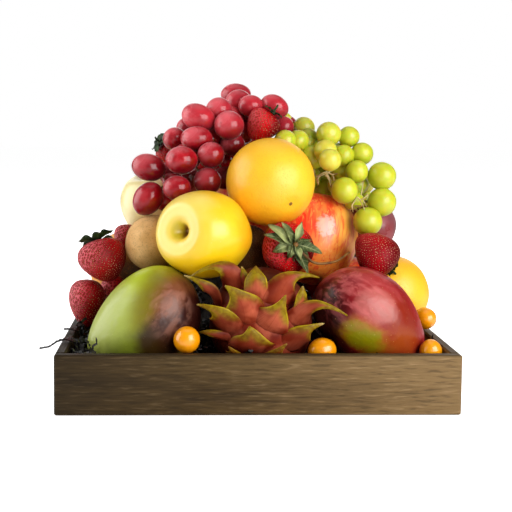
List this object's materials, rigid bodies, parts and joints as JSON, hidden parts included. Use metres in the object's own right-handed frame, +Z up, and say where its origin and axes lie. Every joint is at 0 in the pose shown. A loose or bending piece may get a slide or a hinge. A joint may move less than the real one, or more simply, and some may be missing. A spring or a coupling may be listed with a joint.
{
  "type": "fruit gift basket",
  "caption": "Low square dark-stained wooden tray heaped high with mixed fresh fruit on black paper shred: mangoes, a dragon fruit, apples, oranges, berries and two bunches of grapes.",
  "frame": {"origin": "middle of the tray's flat underside", "axes": "+Z up, -Y out of the tray's front board, +X to the right seen from the front"},
  "size_m": [0.3404, 0.32, 0.2679],
  "materials": {
    "stained_wood": "dark brown stain with fine straight grain, satin",
    "black_paper": "matt black crinkle-cut shred",
    "green_mango": "smooth green skin with a maroon blush, semi-gloss",
    "red_mango": "smooth crimson skin with pale streaks and a green patch, glossy",
    "dragon_fruit": "salmon red skin with olive scale tips, satin",
    "yellow_apple": "smooth yellow skin, glossy",
    "striped_apple": "orange red skin with yellow streaks, glossy",
    "pale_apple": "pale cream yellow skin, semi-gloss",
    "orange_peel": "golden peel with fine pores, satin",
    "kiwi_skin": "brown skin with short fuzz, matt",
    "strawberry_red": "deep red, glossy, with sunken seeds",
    "plum_skin": "dark wine skin with a pale bloom",
    "kumquat_peel": "bright orange peel with fine pores, glossy",
    "red_grape": "wine red skin with a dusty bloom",
    "green_grape": "translucent yellow green skin",
    "leaf_green": "thin green leaf, matt"
  },
  "bodies": {
    "root": {"apple_back": "yellow_apple", "apple_back_top": "striped_apple", "apple_side": "striped_apple", "dragon_fruit": "dragon_fruit", "green_grapes": "green_grape", "kiwi_back": "kiwi_skin", "kiwi_left": "kiwi_skin", "kiwi_middle": "kiwi_skin", "kumquat_back_middle": "kumquat_peel", "kumquat_front_left": "kumquat_peel", "kumquat_front_middle": "kumquat_peel", "kumquat_front_right": "kumquat_peel", "kumquat_on_rim": "kumquat_peel", "kumquat_side": "kumquat_peel", "mango_back_left": "green_mango", "mango_back_right": "red_mango", "mango_front_left": "green_mango", "mango_front_right": "red_mango", "orange_back": "orange_peel", "orange_back_upper": "orange_peel", "orange_left": "orange_peel", "orange_right": "orange_peel", "pale_apple": "pale_apple", "paper_bed": "black_paper", "plum_back": "plum_skin", "plum_middle": "plum_skin", "plum_right": "plum_skin", "red_grapes": "red_grape", "strawberry_back_left": "strawberry_red", "strawberry_back_right": "strawberry_red", "strawberry_back_top": "strawberry_red", "strawberry_behind": "strawberry_red", "strawberry_behind_leaves": "leaf_green", "strawberry_centre": "strawberry_red", "strawberry_centre_leaves": "leaf_green", "strawberry_low": "strawberry_red", "strawberry_lower_left": "strawberry_red", "strawberry_right": "strawberry_red", "strawberry_right_leaves": "leaf_green", "strawberry_small": "strawberry_red", "strawberry_top": "strawberry_red", "strawberry_top_leaves": "leaf_green", "strawberry_upper_left": "strawberry_red", "strawberry_upper_left_leaves": "leaf_green", "striped_apple": "striped_apple", "top_orange": "orange_peel", "tray_back": "stained_wood", "tray_floor": "stained_wood", "tray_front": "stained_wood", "tray_left": "stained_wood", "tray_right": "stained_wood", "yellow_apple": "yellow_apple"}
  },
  "joints": []
}
